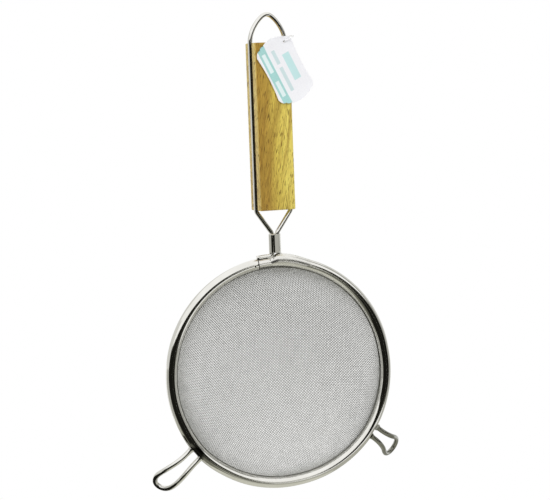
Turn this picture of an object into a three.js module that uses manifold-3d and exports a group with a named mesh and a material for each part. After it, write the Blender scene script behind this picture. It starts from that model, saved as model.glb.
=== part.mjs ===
// A 20 cm mesh strainer with a wooden grip, two rest hooks and a swing tag, hanging by its wire loop.
// Millimetres. +Z is up along the handle, +X to the right, and the open side of the bowl faces -Y.
// The origin is the inside top of the wire loop, where a hook carries the strainer.
import Module from 'manifold-3d';
import * as THREE from 'three';

// Handle wire: one hairpin of round wire
const WIRE_DIA = 4;
const LEG_SPACING = 31.2;
const LOOP_CLEAR_HEIGHT = 21.5;
const WIRE_BEND_RADIUS = 4;
const FOOT_BEND_RADIUS = 4;

// The grip, its legs, the loop and the tag stand turned a little about the upright, as in the photograph
const HANDLE_TURN_DEG = 6.5;

// Wooden grip
const GRIP_WIDTH = 32;
const GRIP_THICKNESS = 22;
const GRIP_LENGTH = 140;
const GRIP_EDGE_RADIUS = 1.4;
const GRIP_END_CHAMFER = 0.7;
const GROOVE_CLEARANCE = 0.3;

// Neck: the legs close to a V and run through a crimped sleeve
const NECK_HEIGHT = 20;
const NECK_LEG_GAP = 0.9;
const SLEEVE_LENGTH = 15;
const SLEEVE_WALL = 0.9;
const SLEEVE_CLEARANCE = 0.3;
const SLEEVE_ABOVE_RIM = 3.6;

// Rim: a rolled tube with a slit for the mesh; its narrowed end slides into its other end
const RIM_OUTER_DIA = 200;
const RIM_TUBE_DIA = 9.4;
const RIM_WALL = 0.6;
const SPIGOT_DIA = 5.4;
const SPIGOT_WALL = 0.45;
const SEAM_LEFT = 16;
const SEAM_RIGHT = 8;
const SEAM_TAPER = 4;
const SEAM_OVERLAP = 10;
const SLIT_CLEARANCE = 0.35;
const FOOT_CLEARANCE = 0.3;

// Mesh bowl, with its edge turned round a hem wire inside the rim
const BOWL_DEPTH = 60;
const MESH_THICKNESS = 0.6;
const MESH_OPENING_COUNT = 10;
const MESH_BAR_SHARE = 0.32;
const MESH_TURN_DEG = 45;
const MESH_BAND = 7;
const HEM_WIRE_DIA = 1.8;
const HEM_CLEARANCE = 0.3;
const HEM_OFFSET = 0.6;
const HEM_SWEEP_DEG = 250;

// Rest hooks: wire loops that reach out from the rim and bend back
const HOOK_WIRE_DIA = 3.8;
const HOOK_LEFT = { belowDeg: 40, bendRadius: 37.5, leanDeg: -1.3 };
const HOOK_RIGHT = { belowDeg: 35, bendRadius: 15, leanDeg: 5 };
const HOOK_NECK_WIDTH = 12.9;
const HOOK_LOOP_WIDTH = 19.9;
const HOOK_STRAIGHT = 8.6;
const HOOK_BEND_DEG = 54;
const HOOK_LENGTH = 47.5;
const HOOK_ROUND_END = 11.9;
const HOOK_CLEARANCE = 0.3;
const HOOK_NECK_SHARE = 0.15;

// Swing tag of thick card, and the nylon loop that ties it to the right leg
const TAG_LENGTH = 57;
const TAG_WIDTH = 35;
const TAG_THICKNESS = 0.5;
const TAG_END_BOW = 4.2;
const TAG_NOTCH = 2.6;
const TAG_STANDOFF = 0.6;
const TAG_HOLE_FROM_SIDE = 6.8;
const TAG_HOLE_FROM_END = 7.6;
const TIE_DIA = 0.8;
const TIE_HOLE_CLEARANCE = 0.4;
const TIE_WIRE_CLEARANCE = 0.3;
const TIE_ABOVE_GRIP = 0.5;
const TIE_WIDTH = 9.8;
const TIE_LEFT_OF_LEG = 5.5;
const TIE_FRONT_BEND = 1.2;
const TIE_BACK_BEND = 2;

// Facet counts
const RING_STEP_DEG = 7.5;
const WIRE_SIDES = 10;
const HOOK_SIDES = 8;
const TIE_SIDES = 6;
const HEM_SIDES = 8;
const HOOK_SIDE_STEPS = 10;
const HOOK_END_STEPS = 10;
const RIM_OUTER_STEPS = 16;
const RIM_INNER_STEPS = 12;
const BOWL_STEPS = 8;
const BOWL_STEP_EASE = 1.4;
const HEM_STEPS = 9;
const LOOP_STEPS = 18;
const FOOT_STEPS = 3;
const BEND_STEP_DEG = 15;
const CORNER_STEPS = 3;
const GROOVE_STEPS = 8;
const SLEEVE_STEPS = 8;
const TAG_STEPS = 6;

// Heights, from the loop downwards
const GRIP_TOP = -LOOP_CLEAR_HEIGHT;
const GRIP_BOTTOM = GRIP_TOP - GRIP_LENGTH;
const SLEEVE_TOP = GRIP_BOTTOM - NECK_HEIGHT;
const SLEEVE_BOTTOM = SLEEVE_TOP - SLEEVE_LENGTH;
const RIM_Z = SLEEVE_BOTTOM - SLEEVE_ABOVE_RIM - RIM_OUTER_DIA / 2;

// Radii round the rim's axis
const TUBE_R = RIM_TUBE_DIA / 2;
const RIM_R = RIM_OUTER_DIA / 2 - TUBE_R;
const HEM_R = RIM_R - HEM_OFFSET;
const CURL_R = HEM_WIRE_DIA / 2 + HEM_CLEARANCE + MESH_THICKNESS / 2;
const BOWL_R = HEM_R - CURL_R;
const FOOT_R = HEM_R + SPIGOT_DIA / 2 + FOOT_CLEARANCE + WIRE_DIA / 2;

const rad = THREE.MathUtils.degToRad;
const deg = THREE.MathUtils.radToDeg;
const lerp = THREE.MathUtils.lerp;

// Angles on the rim run clockwise from the top, as seen from the open side
const END_DEG = -deg(SEAM_LEFT / RIM_R);
const TIP_DEG = END_DEG - deg(SEAM_OVERLAP / RIM_R);
const TAPER_DEG = deg(SEAM_RIGHT / RIM_R);
const FULL_DEG = TAPER_DEG + deg(SEAM_TAPER / RIM_R);

// Rim angles shared by the bowl, its hem and the rim, so that their facets line up
function ringAngles() {
  const seam = [TIP_DEG + 360, END_DEG + 360, TAPER_DEG, FULL_DEG];
  const even = [];
  for (let a = 0; a < 360; a += RING_STEP_DEG) {
    const clear = seam.every((s) => Math.abs(s - a) > RING_STEP_DEG / 4);
    if (clear) even.push(a);
  }
  return [...even, ...seam].sort((a, b) => a - b);
}

// A point at radius r and depth y, at an angle on the rim
function onRim(angleDeg, r, y) {
  const a = rad(angleDeg);
  return new THREE.Vector3(r * Math.sin(a), y, RIM_Z + r * Math.cos(a));
}

// A point of the handle, drawn square to the rim and then turned with the grip
function onHandle(x, y, z) {
  return new THREE.Vector3(x, y, z).applyAxisAngle(new THREE.Vector3(0, 0, 1), rad(HANDLE_TURN_DEG));
}

// A closed mesh from points and triangles, with its faces turned outwards
function solid(points, triangles) {
  let volume = 0;
  for (const [a, b, c] of triangles) {
    volume += points[a].dot(new THREE.Vector3().crossVectors(points[b], points[c]));
  }
  const faces = volume < 0 ? triangles.map(([a, b, c]) => [a, c, b]) : triangles;
  const geometry = new THREE.BufferGeometry().setFromPoints(points);
  geometry.setIndex(faces.flat());
  geometry.computeVertexNormals();
  return geometry;
}

// Walls between two rows of points, each row closing on itself
function addWall(triangles, rowA, rowB) {
  const n = rowA.length;
  for (let i = 0; i < n; i += 1) {
    const j = (i + 1) % n;
    triangles.push([rowA[i], rowA[j], rowB[j]], [rowA[i], rowB[j], rowB[i]]);
  }
}

// Walls between two rows of indices round the rim's axis that may differ in number; angles run up from 0
function addZip(triangles, rowA, rowB) {
  const at = (row, k) => row[k % row.length];
  const angle = (row, k) => at(row, k).angle + (k < row.length ? 0 : 360);
  let i = 0;
  let j = 0;
  while (i < rowA.length || j < rowB.length) {
    const stepB = i === rowA.length || (j < rowB.length && angle(rowB, j + 1) <= angle(rowA, i + 1));
    const third = stepB ? at(rowB, j + 1) : at(rowA, i + 1);
    const [a, b, c] = [at(rowA, i).index, third.index, at(rowB, j).index];
    triangles.push([a, b, c]);
    if (stepB) j += 1;
    else i += 1;
  }
}

// Skins rings of points into a solid: a closed hoop, or capped at both ends by flat outlines
function skin(rings, { hoop = false, outline = null } = {}) {
  const n = rings[0].length;
  const points = rings.flat();
  const row = (k) => Array.from({ length: n }, (_, i) => k * n + i);
  const triangles = [];
  for (let k = 0; k + 1 < rings.length; k += 1) addWall(triangles, row(k), row(k + 1));
  if (hoop) {
    addWall(triangles, row(rings.length - 1), row(0));
    return solid(points, triangles);
  }
  const first = row(0);
  const last = row(rings.length - 1);
  const fan = Array.from({ length: n - 2 }, (_, i) => [0, i + 1, i + 2]);
  const cap = outline ? THREE.ShapeUtils.triangulateShape(outline, []) : fan;
  const turned = outline && THREE.ShapeUtils.area(outline) < 0;
  for (const [a, b, c] of cap) {
    const flip = turned ? [a, c, b] : [a, b, c];
    triangles.push([first[flip[0]], first[flip[2]], first[flip[1]]]);
    triangles.push([last[flip[0]], last[flip[1]], last[flip[2]]]);
  }
  return solid(points, triangles);
}

// A round wire along a list of points, each ring square to the path there
function wire(path, diameter, sides, hoop = false) {
  const n = path.length;
  const tangents = path.map((p, i) => {
    const before = hoop ? path[(i + n - 1) % n] : path[Math.max(i - 1, 0)];
    const after = hoop ? path[(i + 1) % n] : path[Math.min(i + 1, n - 1)];
    return after.clone().sub(before).normalize();
  });
  const startsAlongY = Math.abs(tangents[0].y) > Math.SQRT1_2;
  const side = startsAlongY ? new THREE.Vector3(0, 0, 1) : new THREE.Vector3(0, 1, 0);
  const rings = path.map((p, i) => {
    side.addScaledVector(tangents[i], -side.dot(tangents[i])).normalize();
    const up = new THREE.Vector3().crossVectors(tangents[i], side);
    return Array.from({ length: sides }, (_, k) => {
      const a = (2 * Math.PI * k) / sides;
      const offset = side.clone().multiplyScalar(Math.cos(a)).addScaledVector(up, Math.sin(a));
      return p.clone().addScaledVector(offset, diameter / 2);
    });
  });
  return skin(rings, { hoop });
}

// Booleans: a closed geometry as a manifold solid, and back
const wasm = await Module();
wasm.setup();

function toManifold(geometry) {
  const vertProperties = new Float32Array(geometry.getAttribute('position').array);
  const triVerts = new Uint32Array(geometry.getIndex().array);
  return new wasm.Manifold(new wasm.Mesh({ numProp: 3, vertProperties, triVerts }));
}

function fromManifold(manifold) {
  const mesh = manifold.getMesh();
  const geometry = new THREE.BufferGeometry();
  geometry.setAttribute('position', new THREE.BufferAttribute(mesh.vertProperties, 3));
  geometry.setIndex(new THREE.BufferAttribute(mesh.triVerts, 1));
  geometry.computeVertexNormals();
  return geometry;
}

// Points round a bend of the given radius where the path turns at corner
function bend(from, corner, to, radius) {
  const u = from.clone().sub(corner).normalize();
  const v = to.clone().sub(corner).normalize();
  const half = u.angleTo(v) / 2;
  const reach = radius / Math.tan(half);
  const middle = u.clone().add(v).normalize();
  const centre = corner.clone().addScaledVector(middle, radius / Math.sin(half));
  const a = corner.clone().addScaledVector(u, reach).sub(centre);
  const b = corner.clone().addScaledVector(v, reach).sub(centre);
  const turn = a.angleTo(b);
  const steps = Math.max(2, Math.ceil(turn / rad(BEND_STEP_DEG)));
  return Array.from({ length: steps + 1 }, (_, i) => {
    const t = i / steps;
    const wa = Math.sin((1 - t) * turn) / Math.sin(turn);
    const wb = Math.sin(t * turn) / Math.sin(turn);
    return centre.clone().addScaledVector(a, wa).addScaledVector(b, wb);
  });
}

// Handle wire: foot, neck, leg, loop, leg, neck, foot
function legPath(sign, seamLength) {
  const legX = (sign * LEG_SPACING) / 2;
  const neckX = (sign * (WIRE_DIA + NECK_LEG_GAP)) / 2;
  const lean = Math.atan2(Math.abs(legX - neckX), NECK_HEIGHT);
  const cornerDrop = WIRE_BEND_RADIUS * Math.tan(lean / 2);
  const tipDeg = deg(seamLength / RIM_R) - deg(FOOT_CLEARANCE / FOOT_R);
  const turnDeg = deg(Math.asin(Math.abs(neckX) / FOOT_R));
  const footStartDeg = turnDeg + deg(FOOT_BEND_RADIUS / FOOT_R);
  const foot = Array.from({ length: FOOT_STEPS + 1 }, (_, i) => {
    const a = lerp(tipDeg, Math.min(footStartDeg, tipDeg), i / FOOT_STEPS);
    return onRim(sign * a, FOOT_R, 0);
  });
  const heel = onRim(sign * turnDeg, FOOT_R, 0);
  const sleeveTop = new THREE.Vector3(neckX, 0, SLEEVE_TOP + cornerDrop);
  const gripFoot = onHandle(legX, 0, GRIP_BOTTOM - cornerDrop);
  const gripTop = onHandle(legX, 0, GRIP_TOP);
  return [
    ...foot.slice(0, -1),
    ...bend(foot[0], heel, sleeveTop, FOOT_BEND_RADIUS),
    ...bend(heel, sleeveTop, gripFoot, WIRE_BEND_RADIUS),
    ...bend(sleeveTop, gripFoot, gripTop, WIRE_BEND_RADIUS),
  ];
}

function loopPath() {
  const rise = LOOP_CLEAR_HEIGHT + WIRE_DIA / 2;
  return Array.from({ length: LOOP_STEPS + 1 }, (_, i) => {
    const a = Math.PI * (1 - i / LOOP_STEPS);
    const x = (LEG_SPACING / 2) * Math.cos(a);
    return onHandle(x, 0, GRIP_TOP + rise * Math.sin(a));
  });
}

function handleWire() {
  const left = legPath(-1, SEAM_LEFT);
  const right = legPath(1, SEAM_RIGHT).reverse();
  return wire([...left, ...loopPath(), ...right], WIRE_DIA, WIRE_SIDES);
}

// Grip outline at one height, drawn in by inset: round corners and a groove in each side
function gripOutline(inset) {
  const halfW = GRIP_WIDTH / 2 - inset;
  const halfT = GRIP_THICKNESS / 2 - inset;
  const grooveR = WIRE_DIA / 2 + GROOVE_CLEARANCE;
  const grooveX = LEG_SPACING / 2;
  const mouth = Math.acos((halfW - grooveX) / grooveR);
  const outline = [];
  const arc = (cx, cy, r, from, to, steps) => {
    for (let i = 0; i <= steps; i += 1) {
      const a = lerp(from, to, i / steps);
      outline.push(new THREE.Vector2(cx + r * Math.cos(a), cy + r * Math.sin(a)));
    }
  };
  const cornerX = halfW - GRIP_EDGE_RADIUS;
  const cornerY = halfT - GRIP_EDGE_RADIUS;
  const quarter = Math.PI / 2;
  arc(cornerX, -cornerY, GRIP_EDGE_RADIUS, -quarter, 0, CORNER_STEPS);
  arc(grooveX, 0, grooveR, -mouth, mouth - 2 * Math.PI, GROOVE_STEPS);
  arc(cornerX, cornerY, GRIP_EDGE_RADIUS, 0, quarter, CORNER_STEPS);
  arc(-cornerX, cornerY, GRIP_EDGE_RADIUS, quarter, 2 * quarter, CORNER_STEPS);
  arc(-grooveX, 0, grooveR, Math.PI - mouth, mouth - Math.PI, GROOVE_STEPS);
  arc(-cornerX, -cornerY, GRIP_EDGE_RADIUS, 2 * quarter, 3 * quarter, CORNER_STEPS);
  return outline;
}

function woodenGrip() {
  const levels = [
    [GRIP_BOTTOM, GRIP_END_CHAMFER],
    [GRIP_BOTTOM + GRIP_END_CHAMFER, 0],
    [GRIP_TOP - GRIP_END_CHAMFER, 0],
    [GRIP_TOP, GRIP_END_CHAMFER],
  ];
  const rings = levels.map(([z, inset]) => gripOutline(inset).map((p) => onHandle(p.x, p.y, z)));
  return skin(rings, { outline: gripOutline(GRIP_END_CHAMFER) });
}

// Neck sleeve: a flattened tube round both legs
function stadium(path, halfSpan, radius) {
  path.absarc(halfSpan, 0, radius, -Math.PI / 2, Math.PI / 2, false);
  path.absarc(-halfSpan, 0, radius, Math.PI / 2, (3 * Math.PI) / 2, false);
  return path;
}

function neckSleeve() {
  const halfSpan = (WIRE_DIA + NECK_LEG_GAP) / 2;
  const bore = WIRE_DIA / 2 + SLEEVE_CLEARANCE;
  const shape = stadium(new THREE.Shape(), halfSpan, bore + SLEEVE_WALL);
  shape.holes.push(stadium(new THREE.Path(), halfSpan, bore));
  const options = { depth: SLEEVE_LENGTH, bevelEnabled: false, curveSegments: SLEEVE_STEPS };
  return new THREE.ExtrudeGeometry(shape, options);
}

// Rim section in (radius, depth): an open C whose slit lets the mesh out inwards and backwards
function rimOutline(centreR, outerR, wall) {
  const innerR = outerR - wall;
  const slitHalf = MESH_THICKNESS / 2 + SLIT_CLEARANCE;
  const meshOffset = centreR - BOWL_R;
  const from = Math.acos(Math.min(1, (meshOffset + slitHalf) / innerR));
  const to = Math.acos((meshOffset - slitHalf) / outerR);
  const at = (r, a) => new THREE.Vector2(centreR - r * Math.cos(a), r * Math.sin(a));
  const outline = [];
  for (let i = 0; i <= RIM_OUTER_STEPS; i += 1) {
    outline.push(at(outerR, lerp(to, from + 2 * Math.PI, i / RIM_OUTER_STEPS)));
  }
  for (let i = RIM_INNER_STEPS; i >= 0; i -= 1) {
    outline.push(at(innerR, lerp(to, from + 2 * Math.PI, i / RIM_INNER_STEPS)));
  }
  return outline;
}

function rimTube() {
  const spigot = rimOutline(HEM_R, SPIGOT_DIA / 2, SPIGOT_WALL);
  const full = rimOutline(RIM_R, TUBE_R, RIM_WALL);
  const narrow = [TIP_DEG, END_DEG, 0, TAPER_DEG];
  const round = ringAngles().filter((a) => a >= FULL_DEG && a <= END_DEG + 360);
  const ring = (outline, a) => outline.map((p) => onRim(a, p.x, p.y));
  const rings = [...narrow.map((a) => ring(spigot, a)), ...round.map((a) => ring(full, a))];
  return skin(rings, { outline: spigot });
}

// Every third angle near the bowl's middle, every second further out, and all of them near its edge
function bowlAngles(r) {
  const skip = [0.45, 0.85].filter((share) => r < share * BOWL_R).length;
  return ringAngles().filter((_, i) => i % (skip + 1) === 0);
}

// Turns a profile of (radius, depth) points about the rim's axis; both its ends lie on the axis
function revolve(profile) {
  const points = [];
  const triangles = [];
  const rows = profile.map(({ x, y }) => {
    const angles = x < MESH_THICKNESS ? [0] : bowlAngles(x);
    return angles.map((angle) => ({ angle, index: points.push(onRim(angle, x, y)) - 1 }));
  });
  for (let k = 0; k + 1 < rows.length; k += 1) addZip(triangles, rows[k], rows[k + 1]);
  return solid(points, triangles.filter(([a, b, c]) => a !== b && b !== c && a !== c));
}

// Middle line of the mesh, from the bottom of the bowl to the end of its hem, with its normals
function meshLine() {
  const line = [];
  for (let i = 0; i <= BOWL_STEPS; i += 1) {
    const a = (Math.PI / 2) * (1 - (1 - i / BOWL_STEPS) ** BOWL_STEP_EASE);
    const point = new THREE.Vector2(BOWL_R * Math.sin(a), BOWL_DEPTH * Math.cos(a));
    const normal = new THREE.Vector2(BOWL_DEPTH * Math.sin(a), BOWL_R * Math.cos(a)).normalize();
    line.push({ point, normal });
  }
  for (let i = 1; i <= HEM_STEPS; i += 1) {
    const a = Math.PI + rad(HEM_SWEEP_DEG) * (i / HEM_STEPS);
    const out = new THREE.Vector2(Math.cos(a), Math.sin(a));
    const point = new THREE.Vector2(HEM_R, 0).addScaledVector(out, CURL_R);
    line.push({ point, normal: out.negate() });
  }
  return line;
}

// A point at (u, v) on a square net of angles laid over the bowl, at a share of its distance from the mouth
function onNet(u, v, share) {
  const a = Math.hypot(u, v);
  const turnDeg = deg(Math.atan2(u, v)) + MESH_TURN_DEG;
  return onRim(turnDeg, share * BOWL_R * Math.sin(a), share * BOWL_DEPTH * Math.cos(a));
}

// Openings between the mesh's bars, a coarse stand-in for the weave, with a plain band left below the rim
function meshOpenings() {
  const pitch = Math.PI / MESH_OPENING_COUNT;
  const half = (pitch * (1 - MESH_BAR_SHARE)) / 2;
  const limit = Math.acos(MESH_BAND / BOWL_DEPTH) - pitch / 4;
  const corners = [[-half, -half], [half, -half], [half, half], [-half, half]];
  const centres = Array.from({ length: MESH_OPENING_COUNT }, (_, i) => (i + 0.5) * pitch - Math.PI / 2);
  const wedges = [];
  for (const u of centres) {
    for (const v of centres) {
      const nearest = Math.hypot(Math.abs(u) - half, Math.abs(v) - half);
      if (nearest > limit) continue;
      const rings = [0.8, 1.2].map((share) => corners.map(([du, dv]) => onNet(u + du, v + dv, share)));
      wedges.push(toManifold(skin(rings)));
    }
  }
  const square = (y) => [0, 90, 180, 270].map((a) => onRim(a, RIM_OUTER_DIA, y));
  const below = [square(MESH_BAND), square(2 * BOWL_DEPTH)];
  return wedges.reduce((all, wedge) => all.add(wedge)).intersect(toManifold(skin(below)));
}

function meshBowl() {
  const half = MESH_THICKNESS / 2;
  const line = meshLine();
  const outside = line.map(({ point, normal }) => point.clone().addScaledVector(normal, half));
  const inside = line.map(({ point, normal }) => point.clone().addScaledVector(normal, -half));
  const shell = revolve([...outside, ...inside.reverse()]);
  return fromManifold(toManifold(shell).subtract(meshOpenings()));
}

function hemWire() {
  const rings = ringAngles().map((a) => Array.from({ length: HEM_SIDES }, (_, k) => {
    const b = (2 * Math.PI * k) / HEM_SIDES;
    return onRim(a, HEM_R + (HEM_WIRE_DIA / 2) * Math.cos(b), (HEM_WIRE_DIA / 2) * Math.sin(b));
  }));
  return skin(rings, { hoop: true });
}

// Rest hook: a loop drawn flat as (distance out, width), then bent back along its length
function hookPoint(hook, angleDeg, along, across) {
  const sweep = rad(HOOK_BEND_DEG);
  const bendLength = hook.bendRadius * sweep;
  const turned = Math.min(Math.max(along - HOOK_STRAIGHT, 0) / hook.bendRadius, sweep);
  const lead = Math.min(along, HOOK_STRAIGHT);
  const tail = Math.max(along - HOOK_STRAIGHT - bendLength, 0);
  const out = lead + hook.bendRadius * Math.sin(turned) + tail * Math.cos(sweep);
  const back = hook.bendRadius * (1 - Math.cos(turned)) + tail * Math.sin(sweep);
  const aim = rad(angleDeg + hook.leanDeg);
  const outward = new THREE.Vector3(Math.sin(aim), 0, Math.cos(aim));
  const sideways = new THREE.Vector3(Math.cos(aim), 0, -Math.sin(aim));
  const foot = onRim(angleDeg, RIM_OUTER_DIA / 2 + HOOK_CLEARANCE, back);
  return foot.addScaledVector(outward, out).addScaledVector(sideways, across);
}

function restHook(hook, angleDeg) {
  const neck = (HOOK_NECK_WIDTH - HOOK_WIRE_DIA) / 2;
  const belly = (HOOK_LOOP_WIDTH - HOOK_WIRE_DIA) / 2;
  const endCentre = HOOK_LENGTH - HOOK_WIRE_DIA / 2 - HOOK_ROUND_END;
  const edge = [];
  for (let i = 0; i < HOOK_SIDE_STEPS; i += 1) {
    const t = i / HOOK_SIDE_STEPS;
    edge.push([endCentre * t, lerp(neck, belly, THREE.MathUtils.smoothstep(t, HOOK_NECK_SHARE, 1))]);
  }
  const end = [];
  for (let i = 0; i <= HOOK_END_STEPS; i += 1) {
    const a = Math.PI * (0.5 - i / HOOK_END_STEPS);
    end.push([endCentre + HOOK_ROUND_END * Math.cos(a), belly * Math.sin(a)]);
  }
  const mirrored = edge.map(([along, across]) => [along, -across]).reverse();
  const flat = [...edge, ...end, ...mirrored];
  const path = flat.map(([along, across]) => hookPoint(hook, angleDeg, along, across));
  return wire(path, HOOK_WIRE_DIA, HOOK_SIDES);
}

// Swing tag: it hangs with its middle straight below its hole
const HOLE_U = TAG_LENGTH / 2 - TAG_HOLE_FROM_END;
const HOLE_V = TAG_WIDTH / 2 - TAG_HOLE_FROM_SIDE;
const TAG_ANGLE = Math.atan2(HOLE_U, HOLE_V);
const TIE_X = LEG_SPACING / 2 - TIE_LEFT_OF_LEG;
const TIE_Z = GRIP_TOP + TIE_ABOVE_GRIP + TIE_DIA / 2;
const TAG_BACK_Y = -GRIP_THICKNESS / 2 - TAG_STANDOFF;

function swingTag() {
  const halfL = TAG_LENGTH / 2;
  const halfW = TAG_WIDTH / 2;
  const sideEnd = halfL - TAG_END_BOW - TAG_NOTCH;
  const endHalf = halfW - TAG_NOTCH;
  const bowR = (endHalf * endHalf + TAG_END_BOW * TAG_END_BOW) / (2 * TAG_END_BOW);
  const bowA = Math.asin(endHalf / bowR);
  const notchX = sideEnd + TAG_NOTCH;
  const shape = new THREE.Shape();
  shape.moveTo(-sideEnd, -halfW);
  shape.lineTo(sideEnd, -halfW);
  shape.absarc(notchX, -halfW, TAG_NOTCH, Math.PI, Math.PI / 2, true);
  shape.absarc(halfL - bowR, 0, bowR, -bowA, bowA, false);
  shape.absarc(notchX, halfW, TAG_NOTCH, -Math.PI / 2, -Math.PI, true);
  shape.lineTo(-sideEnd, halfW);
  shape.absarc(-notchX, halfW, TAG_NOTCH, 0, -Math.PI / 2, true);
  shape.absarc(bowR - halfL, 0, bowR, Math.PI - bowA, Math.PI + bowA, false);
  shape.absarc(-notchX, -halfW, TAG_NOTCH, Math.PI / 2, 0, true);
  const hole = new THREE.Path();
  hole.absarc(-HOLE_U, HOLE_V, TIE_DIA / 2 + TIE_HOLE_CLEARANCE, 0, 2 * Math.PI, false);
  shape.holes.push(hole);
  const options = { depth: TAG_THICKNESS, bevelEnabled: false, curveSegments: TAG_STEPS };
  const geometry = new THREE.ExtrudeGeometry(shape, options);
  geometry.translate(HOLE_U, -HOLE_V, 0);
  geometry.rotateZ(-TAG_ANGLE);
  geometry.rotateX(Math.PI / 2);
  geometry.rotateZ(rad(HANDLE_TURN_DEG));
  return geometry;
}

// Tie: a loop round the right leg, through the tag's hole and round the tag's edge
function tagTie() {
  const across = new THREE.Vector3(Math.sin(TAG_ANGLE), 0, Math.cos(TAG_ANGLE));
  const strandIn = new THREE.Vector3(TIE_X, 0, TIE_Z);
  const strandOut = strandIn.clone().addScaledVector(across, TIE_WIDTH);
  const back = WIRE_DIA / 2 + TIE_WIRE_CLEARANCE + TIE_DIA / 2;
  const front = TAG_BACK_Y - TAG_THICKNESS - TIE_HOLE_CLEARANCE - TIE_FRONT_BEND;
  const at = (point, y) => onHandle(point.x, y, point.z);
  const corners = [at(strandIn, front), at(strandIn, back), at(strandOut, back), at(strandOut, front)];
  const radii = [TIE_FRONT_BEND, TIE_BACK_BEND, TIE_BACK_BEND, TIE_FRONT_BEND];
  const path = corners.flatMap((corner, i) => {
    const before = corners[(i + 3) % 4];
    const after = corners[(i + 1) % 4];
    return bend(before, corner, after, radii[i]);
  });
  return wire(path, TIE_DIA, TIE_SIDES, true);
}

// Materials: colour, roughness and metalness
function finish(color, roughness, metalness) {
  return new THREE.MeshStandardMaterial({ color, roughness, metalness });
}

const polishedSteel = () => finish(0xc9cac6, 0.16, 1);
const meshSteel = () => finish(0xb4b5b4, 0.35, 1);
const paleWood = () => finish(0xc6a258, 0.6, 0);
const whiteCard = () => finish(0xf0eff2, 0.7, 0);
const clearNylon = () => finish(0xe8e8e6, 0.3, 0);

const strainer = new THREE.Group();

function add(name, geometry, material, position = [0, 0, 0]) {
  const mesh = new THREE.Mesh(geometry, material);
  mesh.name = name;
  mesh.position.set(...position);
  strainer.add(mesh);
}

add('handle_wire', handleWire(), polishedSteel());
add('wooden_grip', woodenGrip(), paleWood());
add('neck_sleeve', neckSleeve(), polishedSteel(), [0, 0, SLEEVE_BOTTOM]);
add('rim_tube', rimTube(), polishedSteel());
add('hem_wire', hemWire(), meshSteel());
add('mesh_bowl', meshBowl(), meshSteel());
add('rest_hook_left', restHook(HOOK_LEFT, 270 - HOOK_LEFT.belowDeg), polishedSteel());
add('rest_hook_right', restHook(HOOK_RIGHT, 90 + HOOK_RIGHT.belowDeg), polishedSteel());
add('swing_tag', swingTag(), whiteCard(), onHandle(TIE_X, TAG_BACK_Y, TIE_Z).toArray());
add('tag_tie', tagTie(), clearNylon());

export default strainer;
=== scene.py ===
import math

import bpy
import numpy as np
from mathutils import Matrix, Vector


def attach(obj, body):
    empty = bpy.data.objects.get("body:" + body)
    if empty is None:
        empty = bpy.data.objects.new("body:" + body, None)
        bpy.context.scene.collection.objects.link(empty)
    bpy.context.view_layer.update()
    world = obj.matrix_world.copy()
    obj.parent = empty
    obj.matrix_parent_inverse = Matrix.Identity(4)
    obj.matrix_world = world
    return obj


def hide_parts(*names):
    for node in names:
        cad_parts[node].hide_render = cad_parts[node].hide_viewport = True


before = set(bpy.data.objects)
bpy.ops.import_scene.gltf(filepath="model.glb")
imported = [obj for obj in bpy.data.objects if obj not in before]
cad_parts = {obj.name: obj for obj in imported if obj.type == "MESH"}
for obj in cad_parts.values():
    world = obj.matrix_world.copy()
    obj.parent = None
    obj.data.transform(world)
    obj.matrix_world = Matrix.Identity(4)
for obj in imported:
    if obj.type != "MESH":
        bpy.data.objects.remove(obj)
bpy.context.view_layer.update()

# Sizes in millimetres: the frame's, apart from a few that follow the photograph more closely
MM = 0.001
WIRE_R = 2.0
WIRE_END_EASE = 0.7
LEG_X = 15.6
HANDLE_TURN = math.radians(6.5)
LOOP_RISE = 23.5
LOOP_DRAW = 0.32
GRIP_TOP = -21.5
GRIP_BOTTOM = -161.5
GRIP_HALF_W = 16.0
GRIP_HALF_T = 11.0
GRIP_EDGE_R = 1.7
GRIP_END_EASE = 1.0
GROOVE_R = 2.3
GROOVE_REACH = 2.2
NECK_X = 2.45
SLEEVE_TOP = -182.0
SLEEVE_BOTTOM = -198.0
SLEEVE_BORE_R = 2.3
SLEEVE_WALL = 0.9
SLEEVE_EASE = 0.4
SLEEVE_TURN = math.radians(27)
SLEEVE_SWELL_X = 0.35
SLEEVE_SWELL_Y = 0.15
SLEEVE_SQUARENESS = 0.66
NECK_BEND = 4.0
FOOT_BEND = 4.0
RIM_Z = -300.1
RIM_OUTER_R = 100.0
FOOT_R = 99.7
FOOT_LEFT_DEG = 9.4
FOOT_RIGHT_DEG = 4.6
BOWL_R = 93.2
BOWL_DEPTH = 60.0

# Rim tube, its narrowed end at the seam, and the dents where the hooks are welded on
TUBE_R = 4.7
RIM_R = 94.6
SPIGOT_R = 3.75
SEAM_END_DEG = -9.6
SPIGOT_TIP_DEG = -15.0
TAPER_DEG = -9.0
FULL_DEG = 21.0
LIP_R = 90.2
LIP_Y = 0.2
LIP_HALF = 1.0
SLOT_R = 4.5
SLOT_DEG = 0.5
SEAM_EDGE_DEG = 0.35
# The rolled edge at the seam: degrees back from the tube's end, and the radius there
SEAM_EDGE = [(0.2, TUBE_R - 0.03), (0.05, TUBE_R - 0.08), (0.0, SLOT_R), (SLOT_DEG, SLOT_R)]
HOOK_LEFT_DEG = 230.0
HOOK_RIGHT_DEG = 125.0
DENT_DEG = 3.2
DENT_DEPTH = 0.8
# Each bulge: its middle and reach in degrees, and its height
BULGES = [(127.0, 45.0, 2.2), (228.0, 16.0, 0.9), (270.0, 75.0, -0.6)]
BULGE_ROUND_DEG = 3.0
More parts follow.
